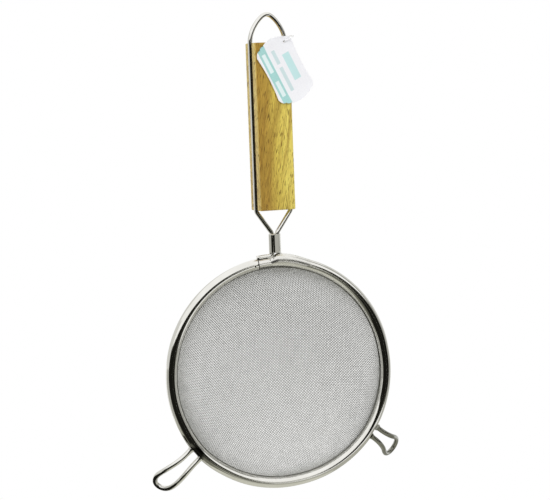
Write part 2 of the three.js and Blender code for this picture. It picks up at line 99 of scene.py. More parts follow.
# Each painted shade at a hook's root: degrees round the ring, strength, and the distances in metres
# over which it fades
HOOK_ROOT_SHADES = [(HOOK_LEFT_DEG + 0.4, 0.97, 0.0055, 0.0085), (HOOK_RIGHT_DEG, 0.25, 0.003, 0.006)]
HOOK_ROOT_SHADE_COLOUR = (0.03, 0.028, 0.024)
HOOK_ROOT_SHADE_R = RIM_OUTER_R - 0.5
HOOK_ROOT_SHADE_Y = -4.0

# Welds: degrees round the ring, with sizes in millimetres
SADDLE_DEG = (-4.0, 20.0)
SADDLE_RISE_DEG = (-3.6, 1.0)
SADDLE_FALL_DEG = (3.0, 20.0)
SADDLE_LIFT = 1.7
SADDLE_SWELL = 1.1
SADDLE_SINK = 0.06
# The seam line and the foot line are painted shade: thin near-black rings at the tube's end and under
# the right foot
SEAM_LINE_R = 0.42
SEAM_LINE_RAISE = 0.2
SEAM_LINE_DEG = SEAM_END_DEG + 0.22
FOOT_LINE_R = 0.25
FOOT_LINE_DEG = (-9.0, -3.8)
FOOT_LINE_AT = (FOOT_R - 1.35, -1.55)
SPOT_WELD_R = 0.75
# The spot weld: degrees round the ring, degrees round the tube, and depth
SPOT_WELD_AT = (-11.5, -14, 0.35)
SPATTER_DEPTH = -0.1
# Each speck of spatter: degrees round the ring, degrees round the tube, and its radius
SPATTER = [(-1.4, 38, 0.55), (0.3, 42, 0.6), (-3.2, 30, 0.4)]

# Rest hooks
HOOK_BELLY = 8.05
HOOK_STRAIGHT = 8.6
HOOK_SWEEP = math.radians(54)
HOOK_LENGTH = 45.6
HOOK_ROUND_END = 11.9
HOOK_SINK = 0.2
HOOK_WAIST = 0.15
HOOK_WELD_FLARE = 0.9
HOOK_WELD_REACH = 1.3
LEFT_HOOK = {
    "angle_deg": HOOK_LEFT_DEG, "bend_radius": 37.5, "lean_deg": -1.3,
    "start": -1.3, "neck": 5.4, "wire_r": 2.25,
}
RIGHT_HOOK = {
    "angle_deg": HOOK_RIGHT_DEG, "bend_radius": 15, "lean_deg": 5,
    "start": 1.4, "neck": 4.55, "wire_r": 2.05,
}

# Woven mesh
MESH_PITCH = 1.75
MESH_WIRE_R = 0.4
MESH_EDGE_Y = 0.8
MESH_TURN_DEG = 45
# Painted shade on the weave under the rim: where it fades in metres, its strength and its colour
MESH_PAINTED_SHADE_FADE = (0.002, 0.009)
MESH_PAINTED_SHADE = 0.75
MESH_PAINTED_SHADE_COLOUR = (0.12, 0.12, 0.11)

# Swing tag
TAG_HALF_L = 28.5
TAG_END_EDGE = [
    (0.0, 28.5), (3.0, 28.3), (6.0, 27.7), (7.6, 27.0), (8.3, 26.1), (9.0, 26.5), (10.6, 26.2),
    (12.0, 25.2), (12.6, 24.2), (13.3, 24.4), (14.8, 23.9), (16.0, 22.8), (16.9, 21.4), (17.5, 19.6),
]
TAG_WAIST = 0.07
TAG_CURL = 1.6
TAG_FLAT_SHARE = 0.4
TAG_THICKNESS = 0.5
TAG_HOLE = (-20.9, 10.7)
TAG_SLOPE = math.atan2(-TAG_HOLE[0], TAG_HOLE[1])
TAG_HOLE_R = 0.8
TAG_HOLE_X = 10.1
TAG_HOLE_Z = -21.05
TAG_BACK_Y = -11.6
# Print on the tag: a teal band, and bars that each have a span along, a span across and a colour
TAG_BAND = (-14.85, -7.65)
TAG_BAND_SOFT = 0.15
TAG_BAR_SOFT = 0.1
TAG_BARS = [
    ((-12.0, 12.0), (3.5, 10.0), (0.52, 0.74, 0.74)),
    ((-19.0, -6.5), (-4.0, -0.8), (0.58, 0.70, 0.71)),
    ((-3.5, 18.5), (-4.0, -0.8), (0.58, 0.70, 0.71)),
    ((-20.0, -3.0), (-13.0, -9.6), (0.72, 0.83, 0.83)),
    ((5.0, 19.0), (-13.0, -9.6), (0.72, 0.83, 0.83)),
]
TIE_R = 0.3
TIE_WIDTH = 9.8
TIE_CLEARANCE = 0.3
TIE_STANDOFF = 1.6
TIE_FRONT_BEND = 1.2
TIE_BACK_BEND = 2.0

# Painted shade in the grip's grooves: spans across and from front to back, with soft edges
PAINTED_SHADE_X = (12.75, 15.75)
PAINTED_SHADE_Y = (-4.65, 2.45)
PAINTED_SHADE_SOFT = 0.15

# Photograph's camera, in pixels of a frame 550 wide and 500 high
CAMERA_AZ_DEG = -15.46
CAMERA_EL_DEG = 5.05
CAMERA_ROLL_DEG = -2.10
CAMERA_FOCAL_PX = 1830.0
CAMERA_DISTANCE = 1546.0
CAMERA_TARGET_Z = -195.7
FRAME_WIDTH_PX = 550
SENSOR_WIDTH = 36.0

# Studio, in metres apart from the floor's height, which is in millimetres
FLOOR_Z = -520.0
FLOOR_HALF = 12.0
FLOOR_FADE = (0.16, 0.42)
AMBIENT = 0.55
LAMP_TARGET = (0, 0, -0.2)
LAMPS = [
    ("key_lamp", (0.8, -1.1, 1.0), 0.8, 13),
    ("fill_lamp", (-1.2, -0.8, 0.4), 0.9, 9),
]
CARD_CENTRE = Vector((0, 0, -0.25))
CARD_FAR = 7.5
CARD_BEHIND = 7.6
CARD_NEAR = 0.6
FLOOR_CARD_FAR = -1.5
BLACK = (0.01, 0.01, 0.008)
DARK = (0.095, 0.095, 0.078)
GREY = (0.38, 0.38, 0.36)
OLIVE = (0.4, 0.4, 0.34)
SOFT = (0.45, 0.45, 0.42)
LIGHT = (0.7, 0.7, 0.68)
# Each wall card: azimuths and elevations in degrees, and its distance
WALL_CARDS = [
    ("card_front", BLACK, (-62, 12), (-2.1, 8), CARD_FAR),
    ("card_front_edge", DARK, (-69, 12), (-2.1, 11), CARD_BEHIND),
    ("card_front_right", BLACK, (18, 57), (-2.1, 8), CARD_FAR),
    ("card_front_right_edge", DARK, (18, 62), (-2.1, 14), CARD_BEHIND),
    ("card_right", GREY, (62, 95), (-2.1, 55), CARD_FAR),
    ("card_left", LIGHT, (-112, -69), (-2.1, 30), CARD_FAR),
    ("card_side_left", LIGHT, (-175, -112), (-2.1, 45), CARD_FAR),
    ("card_side_right", LIGHT, (95, 150), (-2.1, 45), CARD_FAR),
    ("card_near_top", OLIVE, (12, 20), (-8.5, 0.5), CARD_NEAR),
    ("card_near_bottom", OLIVE, (7, 16), (-31, -20.5), CARD_NEAR),
]
# Each floor card: elevations of its near edge, azimuths, lift off the floor, elevation of its far edge
FLOOR_CARDS = [
    ("card_floor", (0.44, 0.44, 0.39), (-89, -89), (-180, 180), 0.002, -29),
    ("card_floor_under", (0.62, 0.62, 0.55), (-89, -89), (-180, 180), 0.0025, -58),
    ("card_floor_left", (0.17, 0.17, 0.135), (-60, -60), (-80, -20), 0.003, -34),
    ("card_floor_edge", DARK, (-48, -36), (-69, 13), 0.004, FLOOR_CARD_FAR),
    ("card_floor_front", BLACK, (-42, -24), (-62, 11), 0.006, FLOOR_CARD_FAR),
    ("card_floor_link", (0.03, 0.03, 0.025), (-13, -13), (11, 18), 0.006, -2.5),
    ("card_floor_right_edge", DARK, (-19, -19), (18, 61), 0.004, FLOOR_CARD_FAR),
    ("card_floor_right", BLACK, (-14, -14), (18, 57), 0.006, FLOOR_CARD_FAR),
    ("card_floor_far_right", SOFT, (-29, -29), (61, 110), 0.004, FLOOR_CARD_FAR),
    ("card_floor_far_left", SOFT, (-29, -29), (-120, -69), 0.004, FLOOR_CARD_FAR),
]
# The flag beside the left hook: a point on the hook, azimuth, elevation, distance and half width
HOOK_FLAG = ("flag_hook_left", BLACK, (-0.1, 0.012, -0.385), -82, -45, 0.022, 0.022)
SQUARE = ((-1, -1), (1, -1), (1, 1), (-1, 1))


# Shape helpers: points are arrays of millimetres
def unit(v):
    return v / np.linalg.norm(v, axis=-1, keepdims=True)


def on_rim(angle_deg, r, y):
    a = np.radians(angle_deg)
    return np.stack(np.broadcast_arrays(r * np.sin(a), y, RIM_Z + r * np.cos(a)), axis=-1)


def on_handle(points):
    """Points of the handle, which stands turned a little about the upright."""
    x, y, z = np.moveaxis(np.asarray(points, float), -1, 0)
    c, s = math.cos(HANDLE_TURN), math.sin(HANDLE_TURN)
    return np.stack([x * c - y * s, x * s + y * c, z], axis=-1)


def bend(before, corner, after, radius, steps=10):
    """An arc that rounds off a corner of a path."""
    u = unit(before - corner)
    v = unit(after - corner)
    half = math.acos(float(np.clip(u @ v, -1, 1))) / 2
    centre = corner + unit(u + v) * radius / math.sin(half)
    a = corner + u * radius / math.tan(half) - centre
    b = corner + v * radius / math.tan(half) - centre
    turn = math.pi - 2 * half
    t = np.linspace(0, 1, steps + 1)[:, None]
    return centre + (a * np.sin((1 - t) * turn) + b * np.sin(t * turn)) / math.sin(turn)


def smooth_step(x, low, high):
    t = np.clip((x - low) / (high - low), 0, 1)
    return t * t * (3 - 2 * t)


def tube_rings(path, radius, sides, hoop=False):
    """Rings of points square to a path, carried along it without twisting."""
    path = np.asarray(path, float)
    if hoop:
        tangents = unit(np.roll(path, -1, axis=0) - np.roll(path, 1, axis=0))
    else:
        tangents = unit(np.gradient(path, axis=0))
    radii = np.broadcast_to(radius, len(path))
    side = np.array([0.0, 0, 1]) if abs(tangents[0][1]) > 0.7 else np.array([0.0, 1, 0])
    angles = np.arange(sides) * 2 * math.pi / sides
    rings = []
    for point, tangent, r in zip(path, tangents, radii):
        side = unit(side - tangent * (side @ tangent))
        up = np.cross(tangent, side)
        rings.append(point + r * (np.cos(angles)[:, None] * side + np.sin(angles)[:, None] * up))
    return np.array(rings)


def eased_ends(path, radius, ease):
    """Path and radii with rounded-over ends."""
    path = np.asarray(path, float)
    steps = np.radians([90, 60, 30])
    start = unit(path[0] - path[1])
    end = unit(path[-1] - path[-2])
    head = [path[0] + start * ease * (math.sin(a) - 1) for a in steps]
    tail = [path[-1] + end * ease * (math.sin(a) - 1) for a in steps[::-1]]
    shrink = [radius - ease * (1 - math.cos(a)) for a in steps]
    body = path[1:-1]
    return np.array([*head, *body, *tail]), np.array([*shrink, *[radius] * len(body), *shrink[::-1]])


def skin(rings, hoop=False):
    """Vertices and faces over rings of points; open ends are closed with flat caps."""
    count, sides, _ = rings.shape
    rows = np.arange(count * sides).reshape(count, sides)
    pairs = range(count) if hoop else range(count - 1)
    faces = []
    for k in pairs:
        a, b = rows[k], rows[(k + 1) % count]
        faces.extend(np.stack([a, np.roll(a, -1), np.roll(b, -1), b], axis=1).tolist())
    if not hoop:
        faces.append(rows[0][::-1].tolist())
        faces.append(rows[-1].tolist())
    return rings.reshape(-1, 3), faces


def join(*parts):
    """One list of vertices and faces from several."""
    verts, faces, offset = [], [], 0
    for v, f in parts:
        verts.append(v)
        faces.extend([[i + offset for i in face] for face in f])
        offset += len(v)
    return np.concatenate(verts), faces


def blob(centre, radius, rows=14, columns=20):
    """A closed rounded lump."""
    turn = np.arange(columns) * 2 * math.pi / columns
    rings = []
    for a in np.linspace(0.06, math.pi - 0.06, rows):
        flat = np.sin(a) * np.cos(turn), np.sin(a) * np.sin(turn), np.full(columns, np.cos(a))
        rings.append(np.stack(flat, axis=-1) * radius + centre)
    return skin(np.array(rings))


def signed_volume(verts, faces):
    total = 0.0
    for face in faces:
        a = verts[face[0]]
        for i in range(1, len(face) - 1):
            total += float(a @ np.cross(verts[face[i]], verts[face[i + 1]]))
    return total


def make_object(name, verts, faces, material, sharp_deg=50):
    """An object in the scene from millimetres, with its faces turned outwards."""
    verts = np.asarray(verts, float)
    if signed_volume(verts, faces) < 0:
        faces = [face[::-1] for face in faces]
    mesh = bpy.data.meshes.new(name)
    mesh.from_pydata((verts * MM).tolist(), [], faces)
    mesh.materials.append(material)
    mesh.shade_smooth()
    mesh.set_sharp_from_angle(angle=math.radians(sharp_deg))
    obj = bpy.data.objects.new(name, mesh)
    bpy.context.scene.collection.objects.link(obj)
    return obj


def add_piece(name, shape, material, nodes=(), body="strainer", sharp_deg=50, turn=0.0):
    obj = make_object(name, *shape, material, sharp_deg)
    obj.rotation_euler.z = turn
    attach(obj, body)
    if nodes:
        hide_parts(*nodes)
    return obj


# Material helpers
def new_material(name):
    material = bpy.data.materials.new(name)
    material.use_nodes = True
    tree = material.node_tree
    shader = tree.nodes["Principled BSDF"]
    coords = tree.nodes.new("ShaderNodeTexCoord")
    return material, tree, shader, coords.outputs["Object"]


def scaled(tree, vector, scale, rotation=(0, 0, 0)):
    mapping = tree.nodes.new("ShaderNodeMapping")
    mapping.inputs["Scale"].default_value = scale
    mapping.inputs["Rotation"].default_value = rotation
    tree.links.new(vector, mapping.inputs["Vector"])
    return mapping.outputs["Vector"]


def noise(tree, vector, scale, detail=3.0, roughness=0.5, distortion=0.0):
    node = tree.nodes.new("ShaderNodeTexNoise")
    node.inputs["Scale"].default_value = scale
    node.inputs["Detail"].default_value = detail
    node.inputs["Roughness"].default_value = roughness
    node.inputs["Distortion"].default_value = distortion
    tree.links.new(vector, node.inputs["Vector"])
    return node.outputs["Fac"]


def ramp(tree, value, stops):
    node = tree.nodes.new("ShaderNodeValToRGB")
    elements = node.color_ramp.elements
    while len(elements) < len(stops):
        elements.new(0.5)
    for element, (position, colour) in zip(elements, stops):
        element.position = position
        element.color = (*colour, 1)
    tree.links.new(value, node.inputs["Fac"])
    return node.outputs["Color"]


def remap(tree, value, from_low, from_high, to_low, to_high):
    node = tree.nodes.new("ShaderNodeMapRange")
    node.inputs["From Min"].default_value = from_low
    node.inputs["From Max"].default_value = from_high
    node.inputs["To Min"].default_value = to_low
    node.inputs["To Max"].default_value = to_high
    tree.links.new(value, node.inputs["Value"])
    return node.outputs["Result"]


def mix(tree, factor, a, b, blend="MIX"):
    node = tree.nodes.new("ShaderNodeMix")
    node.data_type = "RGBA"
    node.blend_type = blend
    sockets = {s.identifier: s for s in node.inputs}
    for key, value in (("Factor_Float", factor), ("A_Color", a), ("B_Color", b)):
        if isinstance(value, bpy.types.NodeSocket):
            tree.links.new(value, sockets[key])
        elif key == "Factor_Float":
            sockets[key].default_value = value
        else:
            sockets[key].default_value = (*value, 1)
    return {s.identifier: s for s in node.outputs}["Result_Color"]


def product(tree, a, b):
    node = tree.nodes.new("ShaderNodeMath")
    node.operation = "MULTIPLY"
    tree.links.new(a, node.inputs[0])
    tree.links.new(b, node.inputs[1])
    return node.outputs["Value"]


def inside(tree, value, low, high, soft):
    """One between two places in millimetres, with soft edges."""
    rising = remap(tree, value, (low - soft) * MM, (low + soft) * MM, 0.0, 1.0)
    falling = remap(tree, value, (high - soft) * MM, (high + soft) * MM, 1.0, 0.0)
    return product(tree, rising, falling)


def seen_rays(tree):
    """One for rays that show the background: from the camera, mirrored or passed on."""
    rays = tree.nodes.new("ShaderNodeLightPath")
    out = rays.outputs["Is Camera Ray"]
    for kind in ("Is Glossy Ray", "Is Transmission Ray"):
        node = tree.nodes.new("ShaderNodeMath")
        node.operation = "ADD"
        node.use_clamp = True
        tree.links.new(out, node.inputs[0])
        tree.links.new(rays.outputs[kind], node.inputs[1])
        out = node.outputs["Value"]
    return out


def bump(tree, shader, height, strength, distance):
    node = tree.nodes.new("ShaderNodeBump")
    node.inputs["Strength"].default_value = strength
    node.inputs["Distance"].default_value = distance
    tree.links.new(height, node.inputs["Height"])
    tree.links.new(node.outputs["Normal"], shader.inputs["Normal"])


def steel_material(name, dark, light, rough_low, rough_high, speck_scale, metallic=1.0):
    material, tree, shader, coords = new_material(name)
    shader.inputs["Metallic"].default_value = metallic
    clouds = noise(tree, coords, speck_scale, 4.0, 0.6)
    tree.links.new(ramp(tree, clouds, [(0.3, dark), (0.7, light)]), shader.inputs["Base Color"])
    scuffs = noise(tree, coords, speck_scale * 6, 3.0, 0.7)
    tree.links.new(remap(tree, scuffs, 0.3, 0.7, rough_low, rough_high), shader.inputs["Roughness"])
    bump(tree, shader, noise(tree, coords, speck_scale * 2, 2.0, 0.5), 0.012, 0.0004)
    return material


def rim_material():
    """Polished steel, with shade painted dark where each hook is welded to it."""
    material = steel_material("rim_steel", *BRIGHT_STEEL, 0.05, 0.10, 60.0)
    tree = material.node_tree
    shader = tree.nodes["Principled BSDF"]
    coords = tree.nodes["Texture Coordinate"].outputs["Object"]
    colour = shader.inputs["Base Color"].links[0].from_socket
    # Painted shade: the steel's colour darkens towards near black at each hook's root
    for angle_deg, strength, near, far in HOOK_ROOT_SHADES:
        spot = tree.nodes.new("ShaderNodeVectorMath")
        spot.operation = "DISTANCE"
        spot.inputs[1].default_value = tuple(on_rim(angle_deg, HOOK_ROOT_SHADE_R, HOOK_ROOT_SHADE_Y) * MM)
        tree.links.new(coords, spot.inputs[0])
        tint = remap(tree, spot.outputs["Value"], near, far, strength, 0.0)
        colour = mix(tree, tint, colour, HOOK_ROOT_SHADE_COLOUR)
    tree.links.new(colour, shader.inputs["Base Color"])
    return material


def mesh_material():
    """Dull wire, with shade painted darker where the weave turns in under the rim."""
    dark, light = (0.66, 0.66, 0.64), (0.78, 0.78, 0.76)
    material = steel_material("mesh_steel", dark, light, 0.35, 0.48, 120.0, 0.6)
    tree = material.node_tree
    shader = tree.nodes["Principled BSDF"]
    axes = tree.nodes.new("ShaderNodeSeparateXYZ")
    tree.links.new(tree.nodes["Texture Coordinate"].outputs["Object"], axes.inputs["Vector"])
    colour = shader.inputs["Base Color"].links[0].from_socket
    # Painted shade: the weave's colour darkens towards the rim
    edge = remap(tree, axes.outputs["Y"], *MESH_PAINTED_SHADE_FADE, MESH_PAINTED_SHADE, 0.0)
    tree.links.new(mix(tree, edge, colour, MESH_PAINTED_SHADE_COLOUR), shader.inputs["Base Color"])
    return material


def wood_material():
    """Pale at the left edge as painted light on the lit side, then brown, then yellow, with slanted
    grain and painted shade making the grooves dark.
    """
    material, tree, shader, coords = new_material("pale_wood")
    shader.inputs["IOR"].default_value = 1.45
    shader.inputs["Specular IOR Level"].default_value = 0.3
    warp = noise(tree, scaled(tree, coords, (60, 60, 12)), 1.0, 2.0)
    lean = tree.nodes.new("ShaderNodeVectorMath")
    lean.operation = "MULTIPLY_ADD"
    lean.inputs[1].default_value = (0.008, 0.0, 0.0)
    tree.links.new(warp, lean.inputs[0])
    tree.links.new(coords, lean.inputs[2])
    along = scaled(tree, lean.outputs["Vector"], (1, 1, 1), (0, math.radians(-9), 0))
    axes = tree.nodes.new("ShaderNodeSeparateXYZ")
    tree.links.new(coords, axes.inputs["Vector"])
    across = remap(tree, axes.outputs["X"], -GRIP_HALF_W * MM, GRIP_HALF_W * MM, 0.0, 1.0)
    # Painted light: the ramp's first stops make the grip's left side pale where light falls on it
    tone_and_painted_lit_side = ramp(tree, across, [
        (0.0, (0.62, 0.48, 0.17)), (0.012, (0.58, 0.43, 0.13)), (0.035, (0.36, 0.215, 0.033)),
        (0.3, (0.42, 0.27, 0.045)), (0.52, (0.62, 0.475, 0.085)), (0.85, (0.72, 0.59, 0.125)),
    ])
    stripes = noise(tree, scaled(tree, along, (260, 130, 9)), 1.0, 4.0, 0.6)
    banded = mix(tree, remap(tree, stripes, 0.46, 0.68, 0.0, 0.6), tone_and_painted_lit_side, (0.27, 0.14, 0.02))
    flecks = noise(tree, scaled(tree, along, (1500, 900, 150)), 1.0, 2.0, 0.5)
    flecked = mix(tree, remap(tree, flecks, 0.56, 0.64, 0.0, 0.85), banded, (0.14, 0.075, 0.014))
    fine = noise(tree, scaled(tree, along, (1700, 1000, 70)), 1.0, 3.0, 0.6)
    tone = ramp(tree, fine, [(0.3, (0.2, 0.2, 0.2)), (0.7, (0.8, 0.8, 0.8))])
    toned = mix(tree, 0.5, flecked, tone, "OVERLAY")
    # Painted shade: the wood is coloured near black inside the grooves
    side = tree.nodes.new("ShaderNodeMath")
    side.operation = "ABSOLUTE"
    tree.links.new(axes.outputs["X"], side.inputs[0])
    in_x = inside(tree, side.outputs["Value"], *PAINTED_SHADE_X, PAINTED_SHADE_SOFT)
    in_y = inside(tree, axes.outputs["Y"], *PAINTED_SHADE_Y, PAINTED_SHADE_SOFT)
    painted_groove_shade = product(tree, in_x, in_y)
    tree.links.new(mix(tree, painted_groove_shade, toned, (0.025, 0.015, 0.006)), shader.inputs["Base Color"])
    tree.links.new(remap(tree, fine, 0.3, 0.7, 0.42, 0.58), shader.inputs["Roughness"])
    bump(tree, shader, fine, 0.15, 0.0004)
    return material


def card_material():
    """White card with a teal band and plain bars."""
    material, tree, shader, coords = new_material("tag_card")
    axes = tree.nodes.new("ShaderNodeSeparateXYZ")
    tree.links.new(coords, axes.inputs["Vector"])
    fibre = noise(tree, coords, 900.0, 4.0, 0.6)
    white = ramp(tree, fibre, [(0.3, (0.80, 0.80, 0.83)), (0.7, (0.86, 0.86, 0.88))])
    teal = ramp(tree, fibre, [(0.3, (0.33, 0.59, 0.57)), (0.7, (0.39, 0.66, 0.63))])
    x, y = axes.outputs["X"], axes.outputs["Y"]
    colour = mix(tree, inside(tree, y, *TAG_BAND, TAG_BAND_SOFT), white, teal)
    for x_span, y_span, tint in TAG_BARS:
        in_x = inside(tree, x, *x_span, TAG_BAR_SOFT)
        in_y = inside(tree, y, *y_span, TAG_BAR_SOFT)
        colour = mix(tree, product(tree, in_x, in_y), colour, tint)
    tree.links.new(colour, shader.inputs["Base Color"])
    tree.links.new(remap(tree, fibre, 0.3, 0.7, 0.38, 0.5), shader.inputs["Roughness"])
    bump(tree, shader, fibre, 0.05, 0.0003)
    return material


def nylon_material():
    material, tree, shader, coords = new_material("clear_nylon")
    shader.inputs["IOR"].default_value = 1.5
    cloud = noise(tree, coords, 600.0, 2.0)
    clear = ramp(tree, cloud, [(0.3, (0.78, 0.79, 0.80)), (0.7, (0.9, 0.9, 0.9))])
    tree.links.new(clear, shader.inputs["Base Color"])
    tree.links.new(remap(tree, cloud, 0.3, 0.7, 0.2, 0.3), shader.inputs["Roughness"])
    return material


# Materials
BRIGHT_STEEL = (0.80, 0.79, 0.74), (0.90, 0.89, 0.85)
POLISHED = steel_material("polished_steel", *BRIGHT_STEEL, 0.05, 0.10, 60.0)
SATIN = steel_material("satin_steel", (0.42, 0.42, 0.41), (0.54, 0.54, 0.53), 0.35, 0.48, 120.0, 0.6)
WELD = steel_material("weld_steel", (0.42, 0.40, 0.36), (0.70, 0.69, 0.66), 0.3, 0.5, 700.0)
SMOOTH_WELD = steel_material("smooth_weld", *BRIGHT_STEEL, 0.22, 0.30, 60.0)
# Near-black steel: painted shade for the seam and foot lines, and the sooty spot weld
SHADE_AND_SOOT = steel_material("painted_shade_and_soot", (0.03, 0.028, 0.024), (0.07, 0.065, 0.06), 0.5, 0.7, 400.0)
DARK_HOOK = steel_material("dark_hook_steel", (0.25, 0.25, 0.21), (0.35, 0.35, 0.30), 0.08, 0.16, 90.0)
# Painted shade: dark steel for the lip, standing in for the shade between the tube and the mesh
LIP_SHADE_STEEL = steel_material("lip_painted_shade", (0.16, 0.16, 0.14), (0.26, 0.26, 0.23), 0.3, 0.45, 200.0)
RIM_STEEL = rim_material()
MESH_STEEL = mesh_material()
WOOD = wood_material()
CARD = card_material()
NYLON = nylon_material()


# Handle wire
def leg_path(sign, tip_deg):
    turn_deg = math.degrees(math.asin(NECK_X / FOOT_R))
    lean = math.atan2(LEG_X - NECK_X, GRIP_BOTTOM - SLEEVE_TOP)
    drop = NECK_BEND * math.tan(lean / 2)
    start_deg = turn_deg + math.degrees(FOOT_BEND / FOOT_R)
    foot = on_rim(sign * np.linspace(tip_deg, start_deg, 7), FOOT_R, 0.0)
    heel = on_rim(sign * turn_deg, FOOT_R, 0.0)
    sleeve_top = np.array([sign * NECK_X, 0, SLEEVE_TOP + drop])
    grip_foot = on_handle([sign * LEG_X, 0, GRIP_BOTTOM - drop])
    grip_top = on_handle([sign * LEG_X, 0, GRIP_TOP])
    return np.concatenate([
        foot[:-1],
        bend(foot[0], heel, sleeve_top, FOOT_BEND),
        bend(heel, sleeve_top, grip_foot, NECK_BEND),
        bend(sleeve_top, grip_foot, grip_top, NECK_BEND),
        np.linspace(grip_foot, grip_top, 12)[2:-1],
    ])


def handle_wire():
    a = np.linspace(math.pi, 0, 61)
    draw_in = 1 - LOOP_DRAW * np.sin(a) ** 2
    across = LEG_X * np.cos(a) * draw_in
    loop = on_handle(np.stack([across, 0 * a, GRIP_TOP + LOOP_RISE * np.sin(a)], axis=1))
    path = np.concatenate([leg_path(-1, FOOT_LEFT_DEG), loop, leg_path(1, FOOT_RIGHT_DEG)[::-1]])
    return skin(tube_rings(*eased_ends(path, WIRE_R, WIRE_END_EASE), 24))


# Wooden grip: grooved sides, eased edges and ends
def grip_outline(inset):
    half_w = GRIP_HALF_W - inset
    half_t = GRIP_HALF_T - inset
    edge = GRIP_EDGE_R
    mouth = math.acos((half_w - LEG_X) / GROOVE_R)

    def arc(cx, cy, r, start, end, steps):
        a = np.linspace(start, end, steps + 1)
        return np.stack([cx + r * np.cos(a), cy + r * np.sin(a)], axis=1)

    cx, cy, quarter = half_w - edge, half_t - edge, math.pi / 2
    return np.concatenate([
        arc(cx, -cy, edge, -quarter, 0, 8),
        arc(LEG_X, -GROOVE_REACH, GROOVE_R, -mouth, -math.pi, 9),
        arc(LEG_X, 0, GROOVE_R, -math.pi, mouth - 2 * math.pi, 9),
        arc(cx, cy, edge, 0, quarter, 8),
        arc(-cx, cy, edge, quarter, 2 * quarter, 8),
        arc(-LEG_X, 0, GROOVE_R, math.pi - mouth, 0, 9),
        arc(-LEG_X, -GROOVE_REACH, GROOVE_R, 0, mouth - math.pi, 9),
        arc(-cx, -cy, edge, 2 * quarter, 3 * quarter, 8),
    ])


def wooden_grip():
    turn = np.radians([0, 22, 45, 67, 90])
    inset = GRIP_END_EASE * (1 - np.sin(turn))
    rise = GRIP_END_EASE * (1 - np.cos(turn))
    bottom = [(GRIP_BOTTOM + z, i) for z, i in zip(rise, inset)]
    top = [(GRIP_TOP - z, i) for z, i in zip(rise[::-1], inset[::-1])]
    rings = []
    for z, i in bottom + top:
        outline = grip_outline(i)
        rings.append(np.column_stack([outline, np.full(len(outline), z)]))
    return skin(np.array(rings))


# Neck sleeve: a flattened tube with rolled lips, open at both ends
def sleeve_ring(radius, z, outside):
    """Inside, a slot round both legs; outside, a squarish oval turned about the upright."""
    a = np.linspace(-math.pi / 2, math.pi / 2, 25)
    turn = 0.0
    x = NECK_X + radius * np.cos(a)
    y = radius * np.sin(a)
    if outside:
        turn = SLEEVE_TURN
        x = (NECK_X + radius + SLEEVE_SWELL_X) * np.cos(a) ** SLEEVE_SQUARENESS
        y = (radius + SLEEVE_SWELL_Y) * np.sign(a) * np.abs(np.sin(a)) ** SLEEVE_SQUARENESS
    c, s = math.cos(turn), math.sin(turn)
    half = np.stack([x * c - y * s, x * s + y * c], axis=1)
    ring = np.concatenate([half, -half])
    return on_handle(np.column_stack([ring, np.full(len(ring), z)]))


def neck_sleeve():
    outer = SLEEVE_BORE_R + SLEEVE_WALL
    ease = SLEEVE_EASE
    profile = [
        (SLEEVE_BORE_R, SLEEVE_TOP - ease), (SLEEVE_BORE_R + ease / 2, SLEEVE_TOP),
        (outer - ease / 2, SLEEVE_TOP),
        (outer, SLEEVE_TOP - ease), (outer, SLEEVE_TOP - 1.5 * ease),
        (outer, SLEEVE_BOTTOM + 1.5 * ease), (outer, SLEEVE_BOTTOM + ease),
        (outer - ease / 2, SLEEVE_BOTTOM),
        (SLEEVE_BORE_R + ease / 2, SLEEVE_BOTTOM), (SLEEVE_BORE_R, SLEEVE_BOTTOM + ease),
    ]
    rings = np.array([sleeve_ring(r, z, r > SLEEVE_BORE_R + ease) for r, z in profile])
    return skin(rings, hoop=True)


# Rim: round sections skinned along the ring, pressed in a little where each hook is welded
def rim_bulge(angle_deg):
    """How far the ring is drawn out of round towards each hook."""
    out = 0.0
    for at_deg, reach_deg, height in BULGES:
        off = math.hypot(angle_deg - at_deg, BULGE_ROUND_DEG) / reach_deg
        out += height * max(0.0, 1 - off)
    return out


def rim_section(angle_deg, centre_r, tube_r):
    a = np.arange(48) * 2 * math.pi / 48
    centre_r = centre_r + rim_bulge(angle_deg)
    out = np.cos(a)
    for hook_deg in (HOOK_LEFT_DEG, HOOK_RIGHT_DEG):
        press = DENT_DEPTH * math.exp(-(((angle_deg - hook_deg) / DENT_DEG) ** 2))
        out = out - np.where(out > 0, out, 0) * press / tube_r
    return on_rim(angle_deg, centre_r + tube_r * out, tube_r * np.sin(a))


def on_tube(angle_deg, section_deg, depth=0.0):
    """A point on the front of the rim tube: section 0 faces the front, 90 the outside."""
    s = math.radians(section_deg)
    r = RIM_R + rim_bulge(angle_deg) + (TUBE_R - depth) * math.sin(s)
    return on_rim(angle_deg, r, -(TUBE_R - depth) * math.cos(s))


def taper_radius(angle_deg):
    return SPIGOT_R + (TUBE_R - SPIGOT_R) * smooth_step(angle_deg, TAPER_DEG, FULL_DEG)


def rim_tube():
    stations = [(a, RIM_R, taper_radius(a)) for a in np.linspace(SPIGOT_TIP_DEG, FULL_DEG, 45)]
    end_deg = 360 + SEAM_END_DEG
    stations += [(a, RIM_R, TUBE_R) for a in np.linspace(FULL_DEG, end_deg - SEAM_EDGE_DEG, 360)[1:]]
    stations += [(end_deg - turn, RIM_R, radius) for turn, radius in SEAM_EDGE]
    return skin(np.array([rim_section(*station) for station in stations]))


def rim_lip():
    """The pinched edge of the strip, coloured dark as painted shade, which shows as a dark line between
    the tube and the mesh.
    """
    ring = np.array([on_rim(deg, LIP_R + rim_bulge(deg), LIP_Y) for deg in np.arange(360.0)])
    return skin(tube_rings(ring, LIP_HALF, 10, hoop=True), hoop=True)


